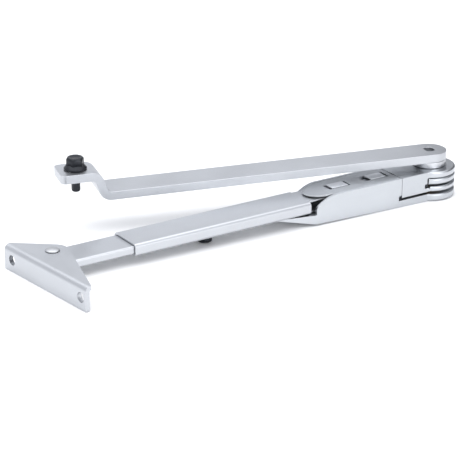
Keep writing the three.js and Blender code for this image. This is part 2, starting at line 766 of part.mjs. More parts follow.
function footBracket() {
  const shortEnd = -pivotFromEnd;
  const longEnd = bracketLength - pivotFromEnd;
  const outer = pivotFromFlange;
  const middle = plateTop - bracketThickness / 2;
  const flangeMiddle = outer - bracketThickness / 2;
  const flangeBottom = plateTop - bracketHeight;
  const path = [[-bracketApexRadius - over, middle], [flangeMiddle, middle], [flangeMiddle, flangeBottom]];
  const sheet = spread(bentStrip(path, bracketThickness, bracketBendRadius), shortEnd, longEnd);
  const inner = outer - bracketEndWidth;
  const longTouch = tangentPoint(inner, longEnd, bracketApexRadius, 1);
  const shortTouch = tangentPoint(inner, shortEnd, bracketApexRadius, -1);
  const longAngle = Math.atan2(longTouch.y, longTouch.x);
  const shortAngle = Math.atan2(shortTouch.y, shortTouch.x) + 2 * Math.PI;
  const plan = new THREE.Shape();
  plan.moveTo(outer + over, shortEnd);
  plan.lineTo(outer + over, longEnd);
  plan.lineTo(inner, longEnd);
  plan.lineTo(longTouch.x, longTouch.y);
  plan.absarc(0, 0, bracketApexRadius, longAngle, shortAngle, false);
  plan.lineTo(inner, shortEnd);
  const screwHole = (y) => {
    const length = bracketThickness + 2 * over;
    const geometry = new THREE.CylinderGeometry(screwHoleRadius, screwHoleRadius, length, holeSegments);
    geometry.rotateZ(Math.PI / 2);
    geometry.translate(flangeMiddle, y, flangeBottom + screwHoleRise);
    return toSolid(geometry);
  };
  return sheet
    .intersect(raised(plan, flangeBottom - over, plateTop + over))
    .subtract(screwHole(shortEnd + shortEndHoleInset))
    .subtract(screwHole(longEnd - longEndHoleInset))
    .subtract(upright(0, 0, rivetRadius + gap, plateUnderside - over, plateTop + over, holeSegments));
}

function footRivet() {
  const tailTop = barBottom - gap;
  const tailBottom = tailTop - rivetTailHeight;
  const seat = plateTop + gap;
  const dome = [];
  for (let step = 0; step <= domeSteps; step += 1) {
    const angle = (Math.PI / 2) * (step / domeSteps);
    dome.push([rivetHeadRadius * Math.cos(angle), seat + rivetHeadHeight * Math.sin(angle)]);
  }
  dome[domeSteps][0] = 0;
  return turned([
    [0, tailBottom],
    [rivetTailRadius - rivetTailChamfer, tailBottom],
    [rivetTailRadius, tailBottom + rivetTailChamfer],
    [rivetTailRadius, tailTop],
    [rivetRadius, tailTop],
    [rivetRadius, seat],
    ...dome,
  ], footReach, 0, rimSegments);
}

function footWasher() {
  const bottom = barTop + gap;
  const top = bottom + footWasherThickness;
  const ring = upright(footReach, 0, rivetHeadRadius, bottom, top, rimSegments);
  const hole = upright(footReach, 0, rivetRadius + gap, bottom - over, top + over, rimSegments);
  return ring.subtract(hole);
}

// ---------------------------------------------------------------------------------------------------------
// Assembly
// ---------------------------------------------------------------------------------------------------------

const linkArm = new THREE.Group();
linkArm.name = 'hold_open_link_arm';

const upperArm = new THREE.Group();
upperArm.rotation.z = Math.PI - elbowAngle * degree;
linkArm.add(upperArm);
piece(upperArm, 'main_arm', mainArm(), 'silver');
piece(upperArm, 'spindle_screw', spindleScrew(), 'blackScrew');
piece(upperArm, 'elbow_spacer', elbowSpacer(), 'plated');
piece(upperArm, 'pivot_axle', pivotAxle(), 'hardSteel');
piece(upperArm, 'detent_disc', detentDisc(), 'housingSteel');

const forearm = new THREE.Group();
forearm.rotation.z = Math.PI;
linkArm.add(forearm);
piece(forearm, 'housing_channel', housingChannel(), 'housingSteel');
piece(forearm, 'housing_cover', housingCover(), 'housingSteel');
piece(forearm, 'knuckle_block', knuckleBlock(), 'housingSteel');
piece(forearm, 'spring_seat', springSeat(), 'plated');
piece(forearm, 'upper_bush', bush(upperLugBottom, housingTop, upperLugBottom), 'bronze');
const lowerBush = bush(middleLugBottom - gap, discUnderside - gap, baseLugThickness + gap);
piece(forearm, 'lower_bush', lowerBush, 'bronze');
piece(forearm, 'pivot_cap', upright(0, 0, capRadius, 0, capThickness), 'plated');
piece(forearm, 'latch_slide', latchSlide(), 'plated');
piece(forearm, 'latch_roller', latchRoller(), 'hardSteel');
piece(forearm, 'roller_pin', rollerPin(), 'hardSteel');
piece(forearm, 'guide_rod', guideRod(), 'hardSteel');
piece(forearm, 'latch_spring', latchSpring(), 'hardSteel');
piece(forearm, 'outer_tube', outerTube(), 'silver');
piece(forearm, 'inner_bar', innerBar(), 'silver');
piece(forearm, 'clamp_screw', clampScrew(), 'blackScrew');
piece(forearm, 'clamp_washer', clampWasher(), 'blackScrew');
piece(forearm, 'foot_rivet', footRivet(), 'plated');
piece(forearm, 'foot_washer', footWasher(), 'plated');

const foot = new THREE.Group();
foot.position.x = footReach;
foot.rotation.z = bracketAngle * degree;
forearm.add(foot);
piece(foot, 'foot_bracket', footBracket(), 'silver');

export default linkArm;
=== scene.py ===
import json
import math

import bmesh
import bpy
from bpy.props import FloatProperty, FloatVectorProperty, IntProperty, PointerProperty
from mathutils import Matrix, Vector


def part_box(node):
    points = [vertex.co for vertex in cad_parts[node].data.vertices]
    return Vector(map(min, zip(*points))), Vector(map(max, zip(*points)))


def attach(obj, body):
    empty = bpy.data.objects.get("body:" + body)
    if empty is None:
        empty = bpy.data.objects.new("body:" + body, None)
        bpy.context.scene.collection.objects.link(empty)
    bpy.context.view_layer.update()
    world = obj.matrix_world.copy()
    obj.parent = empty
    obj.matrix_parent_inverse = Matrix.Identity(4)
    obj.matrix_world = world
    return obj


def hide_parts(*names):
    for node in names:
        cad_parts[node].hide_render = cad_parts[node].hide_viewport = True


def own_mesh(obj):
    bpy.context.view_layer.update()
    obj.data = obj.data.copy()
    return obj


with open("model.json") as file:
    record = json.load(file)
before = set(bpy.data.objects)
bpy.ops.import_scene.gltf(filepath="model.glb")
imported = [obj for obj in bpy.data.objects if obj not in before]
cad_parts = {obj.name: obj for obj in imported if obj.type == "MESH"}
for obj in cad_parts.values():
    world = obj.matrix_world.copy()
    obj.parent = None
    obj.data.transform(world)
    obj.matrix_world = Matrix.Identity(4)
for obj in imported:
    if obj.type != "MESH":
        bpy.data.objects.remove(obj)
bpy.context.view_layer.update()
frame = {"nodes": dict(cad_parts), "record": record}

bl_info = {
    "name": "Hold-open link arm",
    "version": (1, 0, 0),
    "blender": (4, 5, 0),
    "location": "3D View > Sidebar > Link arm",
    "description": "Finished pieces of a hold-open link arm, built around its packed frame",
    "category": "Object",
}

MM = 0.001
FINISHED = "_finished"
FIT = 0.3 * MM  # clearance between fitted pieces
ARM_THICKNESS = 6 * MM  # of the main arm's bar
THREAD_RADIUS = 3.9 * MM  # over the crests of both screws' threads
HIDDEN_RUN = 1 * MM  # how far one shell of a screw starts inside the next
FLOOR_CLEARANCE = 0.05 * MM  # between the floor and the bracket's lower edge
MATT = 0.9  # roughness of the floor and the card
EDGE_BREAK = 0.3 * MM  # small bevel on the screws' turned shapes
SHARP = math.radians(28)  # edges sharper than this are rounded
BAR_SHARP = math.radians(35)  # the same, for pieces with rolled or bent rounds
RIVET_SHARP = math.radians(50)  # the same, for the rivet's low dome
FLATNESS = math.radians(0.6)  # faces that differ by less become one
MERGE_DISTANCE = 0.002 * MM  # corners that are closer become one
RIM_TOLERANCE = 0.03 * MM  # how near an edge lies to a lug's rim to count as one
FINER = 0.6  # the cut ends of the tube and bar, as a share of the sheet's edge radius
RIM_STEPS = 5  # faces across a rounded rim
TURNED_STEPS = 72  # faces around a turned shape
STEPS_PER_FLAT = 12  # faces across one flat of a hexagon

# The round top of a hexagon head
TOP_EDGE = 0.945  # its radius, as a share of half the width across flats
DISH_EDGE = 0.72  # where the dish in it starts, as a share of the top's radius
DISH_FLOOR = 0.6  # where the dish is deepest, as a share of the top's radius
DISH_DEPTH = 0.35  # as a share of the chamfer's height

RECORD = frame["record"]
BODY_OF = {node: body for body, nodes in RECORD["behaviour"]["bodies"].items() for node in nodes}


# ---------------------------------------------------------------------------------------------------------
# Places taken from the frame
# ---------------------------------------------------------------------------------------------------------

def middle(node):
    low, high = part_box(node)
    return (Vector(low) + Vector(high)) / 2


def size_of(node):
    low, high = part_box(node)
    return Vector(high) - Vector(low)


def joint_named(name):
    return next(joint for joint in RECORD["behaviour"]["joints"] if joint["name"] == name)


SPINDLE = Vector(joint_named("spindle_screw_turn")["pos_m"])
FOOT = Vector(joint_named("foot_pivot")["pos_m"])
ARM_ANGLE = math.atan2(SPINDLE.y, SPINDLE.x)


# ---------------------------------------------------------------------------------------------------------
# Settings
# ---------------------------------------------------------------------------------------------------------

def colour(name, description, default):
    """A setting for a plain colour."""
    return FloatVectorProperty(
        name=name, description=description, default=default, subtype="COLOR", size=3, min=0, max=1)


def metres(name, description, default, least=0.0, precision=5):
    """A setting for a length."""
    return FloatProperty(
        name=name, description=description, default=default, min=least, unit="LENGTH", precision=precision)


class LINKARM_PG_finishes(bpy.types.PropertyGroup):
    """Colours and surface of each finish."""
    silver: colour("Silver", "Satin silver coat of the arms", (0.515, 0.53, 0.555))
    housing: colour("Housing silver", "Satin silver coat of the pressed housing", (0.53, 0.55, 0.575))
    zinc: colour("Zinc", "Bright zinc plate", (0.66, 0.675, 0.70))
    steel: colour("Hard steel", "Ground hardened steel", (0.36, 0.37, 0.385))
    bronze: colour("Bronze", "Sintered bronze", (0.46, 0.29, 0.12))
    black: colour("Black", "Blackened screws", (0.016, 0.018, 0.023))
    # Colour of the lighter screw edges: partly rubbed wear, partly a painted highlight.
    rubbed_black_and_highlight: colour("Rubbed black and highlight", "Rubbed edges of the blackened screws", (0.06, 0.062, 0.07))
    grain: metres("Grain depth", "Depth of the fine grain", 0.03 * MM, precision=6)
    # Lighter rounded edges: partly wear and polish, partly a painted highlight on the edges.
    edge_wear_and_highlight: FloatProperty(
        name="Edge wear and highlight", description="How much lighter and smoother the rounded edges are",
        default=0.35, min=0, max=1)


class LINKARM_PG_edges(bpy.types.PropertyGroup):
    """Rounding of the edges."""
    bar: metres("Flat bar", "Edge radius of the rolled bar", 1.5 * MM)
    sheet: metres("Sheet", "Edge radius of punched sheet", 0.45 * MM)
    lug: metres("Lugs", "Edge radius of the housing's other edges", 0.5 * MM)
    rim: metres("Lug rims", "Edge radius of the round lugs' rims", 1.3 * MM)
    turned: metres("Turned pieces", "Edge radius of pins, bushes and washers", 0.2 * MM)
    steps: IntProperty(name="Steps", description="Faces across a rounded edge", default=3, min=1, max=8)


class LINKARM_PG_fasteners(bpy.types.PropertyGroup):
    """Sizes of the screws and the spring that the frame's boxes don't give."""
    pitch: metres("Thread pitch", "Pitch of the screws' threads", 1.25 * MM, least=0.1 * MM)
    thread_depth: metres("Thread depth", "Height of the thread's ridge", 0.5 * MM)
    spindle_flats: metres("Spindle flats", "Width of the spindle screw's hexagon", 11 * MM, least=1 * MM)
    clamp_flats: metres("Clamp flats", "Width of the clamp screw's hexagon", 10 * MM, least=1 * MM)
    flange_rim: metres("Flange rim", "Thickness of the flange at its rim", 1.2 * MM)
    flange_rise: metres("Flange rise", "Height at which the flange meets the hexagon", 3.4 * MM)
    chamfer: metres("Head chamfer", "Height of the chamfer at a hexagon's corners", 1.3 * MM)
    spring_turns: IntProperty(name="Spring turns", description="Turns of the spring", default=5, min=1)
    spring_wire: metres("Spring wire", "Radius of the spring's wire", 0.9 * MM, least=0.1 * MM)


class LINKARM_PG_stage(bpy.types.PropertyGroup):
    """Floor, light and camera."""
    camera_azimuth: FloatProperty(
        name="Azimuth", description="Direction of view, turned about +Z from +Y",
        default=math.radians(-33.01), subtype="ANGLE")
    camera_elevation: FloatProperty(
        name="Elevation", description="Height of the camera above the horizon",
        default=math.radians(21.94), subtype="ANGLE")
    camera_place: FloatVectorProperty(
        name="Place", description="Where the camera stands", subtype="XYZ", size=3,
        default=(-0.8530, -1.0543, 0.5092), unit="LENGTH")
    lens: FloatProperty(name="Lens", description="Focal length in millimetres", default=150.8, min=1)
    floor_colour: colour("Floor", "Colour of the plain floor", (0.94, 0.94, 0.94))
    floor_size: metres("Floor size", "Half width of the floor", 6.0, least=1.0)
    contact: metres("Contact", "From the elbow's axis to where the housing leaves the floor", 25 * MM)
    flag_colour: colour("Flag", "Colour of the dark card", (0.03, 0.03, 0.035))
    flag_distance: metres("Flag distance", "Distance of the dark card beyond the elbow", 0.5)
    flag_foot: metres("Flag foot", "Height of the dark card's lower edge", 0.02)
    flag_height: metres("Flag height", "Height of the dark card's upper edge", 0.5)
    flag_width: metres("Flag width", "Width of the dark card", 1.2)
    sky_colour: colour("Sky", "Colour of the light from all around", (0.93, 0.95, 1.0))
    sky_strength: FloatProperty(
        name="Sky strength", description="Strength of the light from all around", default=0.97, min=0)
    overhead_power: FloatProperty(
        name="Overhead power", description="Power of the softbox overhead, in watts", default=29.0, min=0)
    front_power: FloatProperty(
        name="Front power", description="Power of the softbox in front, in watts", default=15.0, min=0)


class LINKARM_PG_settings(bpy.types.PropertyGroup):
    """All settings of the link arm."""
    finishes: PointerProperty(type=LINKARM_PG_finishes)
    edges: PointerProperty(type=LINKARM_PG_edges)
    fasteners: PointerProperty(type=LINKARM_PG_fasteners)
    stage: PointerProperty(type=LINKARM_PG_stage)


def settings():
    return bpy.context.scene.link_arm


# ---------------------------------------------------------------------------------------------------------
# Finishes
# ---------------------------------------------------------------------------------------------------------

# Scales of the noises, in features per metre
FLAKE_SCALE = 5200
CLOUD_SCALE = 38
STREAK_SCALE = 900
SCUFF_SCALE = 620
STAIN_SCALE = 420
WANDER_SCALE = 300
BLACK_STAIN_SCALE = 520
BLACK_GRAIN_SCALE = 3800
PORE_SCALE = 2600

ROLLING_STRETCH = 0.03  # the streaks' scale along the bar, as a share of their scale across it
NOISE_LOW, NOISE_HIGH = 0.3, 0.7  # most of a noise lies between these
TURNING_PITCH = 0.35 * MM  # between the rings that a turning tool leaves


class Finish:
    """A material under construction: its tree, its shader and small helpers to add and join nodes."""

    def __init__(self, name):
        self.material = bpy.data.materials.new(name)
        self.material.use_nodes = True
        self.tree = self.material.node_tree
        self.shader = self.tree.nodes["Principled BSDF"]
        coordinate = self.tree.nodes.new("ShaderNodeTexCoord")
        self.place = coordinate.outputs["Object"]

    def add(self, kind, **values):
        node = self.tree.nodes.new(kind)
        for name, value in values.items():
            setattr(node, name, value)
        return node

    def join(self, output, target):
        self.tree.links.new(output, target)

    def mapped(self, location=(0, 0, 0), angle=0.0, scale=(1, 1, 1)):
        """Object coordinates moved to a piece's own centre, turned along it and stretched."""
        move = self.add("ShaderNodeMapping", vector_type="POINT")
        move.inputs["Location"].default_value = (-location[0], -location[1], -location[2])
        self.join(self.place, move.inputs["Vector"])
        turn = self.add("ShaderNodeMapping", vector_type="POINT")
        turn.inputs["Rotation"].default_value = (0, 0, -angle)
        self.join(move.outputs["Vector"], turn.inputs["Vector"])
        stretch = self.add("ShaderNodeMapping", vector_type="POINT")
        stretch.inputs["Scale"].default_value = scale
        self.join(turn.outputs["Vector"], stretch.inputs["Vector"])
        return stretch.outputs["Vector"]

    def noise(self, vector, scale, detail=3.0, roughness=0.55):
        node = self.add("ShaderNodeTexNoise")
        node.inputs["Scale"].default_value = scale
        node.inputs["Detail"].default_value = detail
        node.inputs["Roughness"].default_value = roughness
        self.join(vector, node.inputs["Vector"])
        return node.outputs["Fac"]

    def between(self, value, low, high, from_low=NOISE_LOW, from_high=NOISE_HIGH):
        """The value's range, stretched to run from low to high and cut off there."""
        node = self.add("ShaderNodeMapRange")
        node.inputs["From Min"].default_value = from_low
        node.inputs["From Max"].default_value = from_high
        node.inputs["To Min"].default_value = low
        node.inputs["To Max"].default_value = high
        self.join(value, node.inputs["Value"])
        return node.outputs["Result"]

    def mix(self, factor, first, second):
        node = self.add("ShaderNodeMix", data_type="RGBA")
        self.feed(factor, node.inputs[0])
        self.feed(first, node.inputs[6])
        self.feed(second, node.inputs[7])
        return node.outputs[2]

    def maths(self, operation, first, second=0.0):
        node = self.add("ShaderNodeMath", operation=operation)
        self.feed(first, node.inputs[0])
        self.feed(second, node.inputs[1])
        return node.outputs[0]

    def feed(self, value, target):
        if isinstance(value, bpy.types.NodeSocket):
            self.join(value, target)
        elif isinstance(value, (int, float)):
            target.default_value = value
        else:
            target.default_value = (*value[:3], 1.0)

    def edge(self):
        """1 on the rounded edges of a piece, 0 elsewhere."""
        node = self.add("ShaderNodeAttribute", attribute_name="edge")
        return node.outputs["Fac"]

    def bump(self, height, distance, strength, before=None):
        node = self.add("ShaderNodeBump")
        node.inputs["Strength"].default_value = strength
        node.inputs["Distance"].default_value = distance
        self.join(height, node.inputs["Height"])
        if before is not None:
            self.join(before, node.inputs["Normal"])
        return node.outputs["Normal"]

    def done(self, tone, rough, metallic, normal):
        """Joins colour, roughness and relief to the shader and returns the material."""
        self.join(tone, self.shader.inputs["Base Color"])
        self.join(rough, self.shader.inputs["Roughness"])
        self.join(normal, self.shader.inputs["Normal"])
        self.shader.inputs["Metallic"].default_value = metallic
        return self.material


def shade(base, factor):
    """The colour made lighter or darker by a factor."""
    return tuple(max(0.0, min(1.0, channel * factor)) for channel in base)


def silver_coat(name, base, angle=0.0, roughness=0.38):
    """Satin silver coat: fine flakes, soft clouds, faint lengthwise rolling and lighter edges (wear plus
    painted highlight).
    """
    options = settings().finishes
    finish = Finish(name)
    plain = finish.mapped(angle=angle)
    rolled = finish.mapped(angle=angle, scale=(ROLLING_STRETCH, 1, 1))
    flakes = finish.noise(plain, FLAKE_SCALE, detail=2.0)
    clouds = finish.noise(plain, CLOUD_SCALE)
    streaks = finish.noise(rolled, STREAK_SCALE, detail=4.0)
    scuffs = finish.between(finish.noise(plain, SCUFF_SCALE, detail=4.0), 0, 1, 0.42, 0.62)
    # Rounded edges lightened where scuffs lie: partly wear, partly a painted highlight on the edges.
    worn_and_highlight = finish.maths("MULTIPLY", finish.maths("MULTIPLY", finish.edge(), scuffs), options.edge_wear_and_highlight)

    dark_cloud, light_cloud = shade(base, 0.955), shade(base, 1.03)
    streak_tone, flake_tone, worn_and_highlight_tone = shade(base, 0.93), shade(base, 1.3), shade(base, 1.35)
    tone = finish.mix(finish.between(clouds, 0, 1), dark_cloud, light_cloud)
    tone = finish.mix(finish.between(streaks, 0, 0.35), tone, streak_tone)
    tone = finish.mix(finish.between(flakes, 0, 0.45, 0.45, 0.75), tone, flake_tone)
    tone = finish.mix(worn_and_highlight, tone, worn_and_highlight_tone)

    uneven = finish.maths("ADD", clouds, finish.maths("MULTIPLY", flakes, 0.5))
    rough = finish.between(uneven, roughness - 0.045, roughness + 0.05, 0.5, 1.0)
    rough = finish.maths("SUBTRACT", rough, finish.maths("MULTIPLY", worn_and_highlight, 0.12))
    rolling = finish.bump(streaks, options.grain * 0.6, 0.5)
    grain = finish.bump(flakes, options.grain, 0.35, before=rolling)
    return finish.done(tone, rough, metallic=1.0, normal=grain)


def turned_metal(name, base, centre, roughness=0.3, axis="Z"):
    """Turned metal: fine rings about the piece's own axis, with small stains and brighter edges (wear plus
    painted highlight).
    """
    options = settings().finishes
    finish = Finish(name)
    centred = finish.mapped(location=centre)
    split = finish.add("ShaderNodeSeparateXYZ")
    finish.join(centred, split.inputs[0])
    sides = {"Z": ("X", "Y"), "X": ("Y", "Z")}[axis]
    squares = [finish.maths("MULTIPLY", split.outputs[side], split.outputs[side]) for side in sides]
    radius = finish.maths("SQRT", finish.maths("ADD", *squares))
    wander = finish.maths("MULTIPLY", finish.noise(centred, WANDER_SCALE), 0.12 * MM)
    per_metre = 2 * math.pi / TURNING_PITCH
    turns = finish.maths("MULTIPLY", finish.maths("ADD", radius, wander), per_metre)
    rings = finish.between(finish.maths("SINE", turns), 0, 1, -1, 1)
    along = finish.maths("SINE", finish.maths("MULTIPLY", split.outputs[axis], per_metre))
    grooves = finish.maths("ADD", rings, finish.between(along, 0, 0.6, -1, 1))
    stains = finish.noise(centred, STAIN_SCALE, detail=4.0)
    # Rounded edges lightened all along: partly wear, partly a painted highlight on the edges.
    worn_and_highlight = finish.maths("MULTIPLY", finish.edge(), options.edge_wear_and_highlight)

    dark_stain, light_stain = shade(base, 0.9), shade(base, 1.05)
    ring_tone, worn_and_highlight_tone = shade(base, 0.82), shade(base, 1.3)
    tone = finish.mix(finish.between(stains, 0, 1), dark_stain, light_stain)
    tone = finish.mix(finish.between(rings, 0, 0.25, 0, 1), tone, ring_tone)
    tone = finish.mix(worn_and_highlight, tone, worn_and_highlight_tone)
    rough = finish.between(stains, roughness - 0.05, roughness + 0.09)
    return finish.done(tone, rough, metallic=0.95, normal=finish.bump(grooves, 0.006 * MM, 0.6))


def black_finish(name, base):
    """Blackened steel: almost black, slightly blue, a little uneven, and lighter where edges are marked
    (rubbed wear plus painted highlight).
    """
    options = settings().finishes
    finish = Finish(name)
    plain = finish.mapped()
    stains = finish.noise(plain, BLACK_STAIN_SCALE, detail=5.0)
    fine = finish.noise(plain, BLACK_GRAIN_SCALE, detail=2.0)
    rubbed = finish.between(finish.noise(plain, STREAK_SCALE, detail=4.0), 0, 1, 0.45, 0.65)
    # Marked edges lightened where the rubbing noise lies: partly rubbed wear, partly a painted highlight.
    worn_and_highlight = finish.maths("MULTIPLY", finish.maths("MULTIPLY", finish.edge(), rubbed), options.edge_wear_and_highlight)
    dark_stain, light_stain = shade(base, 0.75), shade(base, 1.3)
    tone = finish.mix(finish.between(stains, 0, 1), dark_stain, light_stain)
    tone = finish.mix(worn_and_highlight, tone, options.rubbed_black_and_highlight)
    rough = finish.between(stains, 0.30, 0.44)
    return finish.done(tone, rough, metallic=0.55, normal=finish.bump(fine, 0.012 * MM, 0.5))


def porous_bronze(name, base):
    """Sintered bronze: fine dark pores in a dull yellow metal."""
    finish = Finish(name)
    plain = finish.mapped()
    pores = finish.between(finish.noise(plain, PORE_SCALE), 0, 1, 0.52, 0.62)
    clouds = finish.noise(plain, WANDER_SCALE)
    dark_cloud, light_cloud, pore_tone = shade(base, 0.85), shade(base, 1.15), shade(base, 0.3)
    tone = finish.mix(finish.between(clouds, 0, 1), dark_cloud, light_cloud)
    tone = finish.mix(finish.maths("MULTIPLY", pores, 0.6), tone, pore_tone)
    rough = finish.between(pores, 0.4, 0.6, 0, 1)
    solid = finish.maths("SUBTRACT", 1.0, pores)
    return finish.done(tone, rough, metallic=0.9, normal=finish.bump(solid, 0.02 * MM, 0.6))


# ---------------------------------------------------------------------------------------------------------
# Making and placing pieces
# ---------------------------------------------------------------------------------------------------------

def show(name, mesh, material, node):
    """Adds a finished piece that stands for one node of the frame and moves with its body."""
    piece = bpy.data.objects.new(name, mesh)
    bpy.context.scene.collection.objects.link(piece)
    mesh.materials.clear()
    mesh.materials.append(material)
    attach(piece, BODY_OF[node])
    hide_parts(node)
    return piece


def merged_copy(node):
    """The node's mesh with its loose triangles merged and its flat faces made whole."""
    bm = bmesh.new()
    bm.from_mesh(frame["nodes"][node].data)
    bmesh.ops.remove_doubles(bm, verts=bm.verts, dist=MERGE_DISTANCE)
    bmesh.ops.dissolve_limit(bm, angle_limit=FLATNESS, verts=bm.verts, edges=bm.edges)
    for face in bm.faces:
        face.smooth = True
    mesh = bpy.data.meshes.new(node + FINISHED)
    bm.to_mesh(mesh)
    bm.free()
    return mesh


def applied(mesh, *modifiers):
    """The mesh with these modifiers applied; each is (kind, {setting: value})."""
    holder = bpy.data.objects.new("workpiece", mesh)
    bpy.context.scene.collection.objects.link(holder)
    for kind, values in modifiers:
        modifier = holder.modifiers.new(kind, kind)
        for name, value in values.items():
            setattr(modifier, name, value)
    depsgraph = bpy.context.evaluated_depsgraph_get()
    result = bpy.data.meshes.new_from_object(holder.evaluated_get(depsgraph), depsgraph=depsgraph)
    result.name = mesh.name
    bpy.data.objects.remove(holder)
    return result


def mark_edges(mesh):
    """Stores which faces the rounding made, then puts every face on the first material slot."""
    marks = [1.0 if polygon.material_index == 1 else 0.0 for polygon in mesh.polygons]
    layer = mesh.attributes.new("edge", "FLOAT", "FACE")
    layer.data.foreach_set("value", marks)
    for polygon in mesh.polygons:
        polygon.material_index = 0


def rounded(mesh, radius, sharper_than=SHARP):
    """Rounds every edge sharper than the angle, and keeps the flat faces shading flat."""
    spare = [bpy.data.materials.new("face"), bpy.data.materials.new("edge")]
    mesh.materials.clear()
    for material in spare:
        mesh.materials.append(material)
    result = applied(
        mesh,
        ("BEVEL", {
            "width": radius, "segments": settings().edges.steps,
            "limit_method": "ANGLE", "angle_limit": sharper_than,
            "material": 1, "use_clamp_overlap": True, "miter_outer": "MITER_ARC",
        }),
        ("WEIGHTED_NORMAL", {"keep_sharp": True, "weight": 50, "mode": "FACE_AREA"}),
    )
    mark_edges(result)
    for material in spare:
        bpy.data.materials.remove(material)
    return result


def finished_node(node, radius, material, sharper_than=SHARP):
    """A piece in the node's own shape, with rounded edges."""
    mesh = rounded(merged_copy(node), radius, sharper_than)
    return show(node + FINISHED, mesh, material, node)


def soft_rims(mesh, rim_radius):
    """Rounds the rims of the round lugs: the level edges that lie at the lugs' own radius."""
    lug_radius = size_of("detent_disc").x / 2

    def on_rim(corner):
        return abs(math.hypot(corner.x, corner.y) - lug_radius) < RIM_TOLERANCE

    values = []
    for edge in mesh.edges:
        first, second = [mesh.vertices[index].co for index in edge.vertices]
        level = abs(first.z - second.z) < RIM_TOLERANCE
        values.append(1.0 if level and on_rim(first) and on_rim(second) else 0.0)
    weights = mesh.attributes.new("bevel_weight_edge", "FLOAT", "EDGE")
    weights.data.foreach_set("value", values)
    return applied(mesh, ("BEVEL", {
        "width": rim_radius, "segments": RIM_STEPS, "limit_method": "WEIGHT", "use_clamp_overlap": False,
    }))


def finished_lugs(node, radius, material):
    """A piece with round lugs: soft rims first, then its other edges."""
    softened = soft_rims(merged_copy(node), settings().edges.rim)
    mesh = rounded(softened, radius)
    return show(node + FINISHED, mesh, material, node)


def lathe(profile, centre):
    """A closed turned shell from a list of (radius, height) that starts and ends on the axis."""
    bm = bmesh.new()
    rings = []
    for radius, height in profile:
        if radius == 0:
            rings.append([bm.verts.new((centre.x, centre.y, height))])
            continue
        ring = []
        for step in range(TURNED_STEPS):
            angle = 2 * math.pi * step / TURNED_STEPS
            ring.append(bm.verts.new((centre.x + radius * math.cos(angle),
                                      centre.y + radius * math.sin(angle), height)))
        rings.append(ring)
    for lower, upper in zip(rings, rings[1:]):
        for step in range(TURNED_STEPS):
            following = (step + 1) % TURNED_STEPS
            corners = [lower[step % len(lower)], lower[following % len(lower)],
                       upper[following % len(upper)], upper[step % len(upper)]]
            bm.faces.new(list(dict.fromkeys(corners)))
    bmesh.ops.recalc_face_normals(bm, faces=bm.faces)
    return bm


def hexagon_radius(angle, across_flats):
    """How far a hexagon reaches at an angle from the middle of one of its flats."""
    sector = math.pi / 3
    turned = (angle + sector / 2) % sector - sector / 2
    return across_flats / 2 / math.cos(turned)


def hexagon_head(centre, across_flats, z_seat, z_top, chamfer_run, turn):
    """A closed hexagon head. Its top edge is cut by a cone, which leaves curved chamfers on the flats."""
    bm = bmesh.new()
    steps = 6 * STEPS_PER_FLAT
    up = 1 if z_top > z_seat else -1
    top_radius = across_flats / 2 * TOP_EDGE
    corner = across_flats / math.sqrt(3)
    slope = chamfer_run / (corner - top_radius)
    angles = [2 * math.pi * step / steps for step in range(steps)]

    def ring(radius_at, height_at):
        return [bm.verts.new((centre.x + radius_at(a) * math.cos(a), centre.y + radius_at(a) * math.sin(a),
                              height_at(a))) for a in angles]

    def side(a):
        return hexagon_radius(a - turn + math.pi / 6, across_flats)

    def chamfer_height(a):
        return z_top - up * max(0.0, (side(a) - top_radius) * slope)

    dish = chamfer_run * DISH_DEPTH
    rings = [
        ring(side, lambda a: z_seat),
        ring(side, chamfer_height),
        ring(lambda a: top_radius, lambda a: z_top),
        ring(lambda a: top_radius * DISH_EDGE, lambda a: z_top),
        ring(lambda a: top_radius * DISH_FLOOR, lambda a: z_top - up * dish),
    ]
    for lower, upper in zip(rings, rings[1:]):
        for step in range(steps):
            following = (step + 1) % steps
            bm.faces.new((lower[step], lower[following], upper[following], upper[step]))
    bm.faces.new(rings[-1])
    bm.faces.new(list(reversed(rings[0])))
    bmesh.ops.recalc_face_normals(bm, faces=bm.faces)
    return bm


def as_mesh(bm, name):
    """A smoothly shaded mesh from a bmesh, which is freed."""
    for face in bm.faces:
        face.smooth = True
    mesh = bpy.data.meshes.new(name)
    bm.to_mesh(mesh)
    bm.free()
    return mesh


def joined(name, meshes):
    """One mesh from several shells."""
    bm = bmesh.new()
    for mesh in meshes:
        bm.from_mesh(mesh)
    result = bpy.data.meshes.new(name)
    bm.to_mesh(result)
    bm.free()
    return result


# ---------------------------------------------------------------------------------------------------------
# Geometry Nodes: what follows a helix
# ---------------------------------------------------------------------------------------------------------

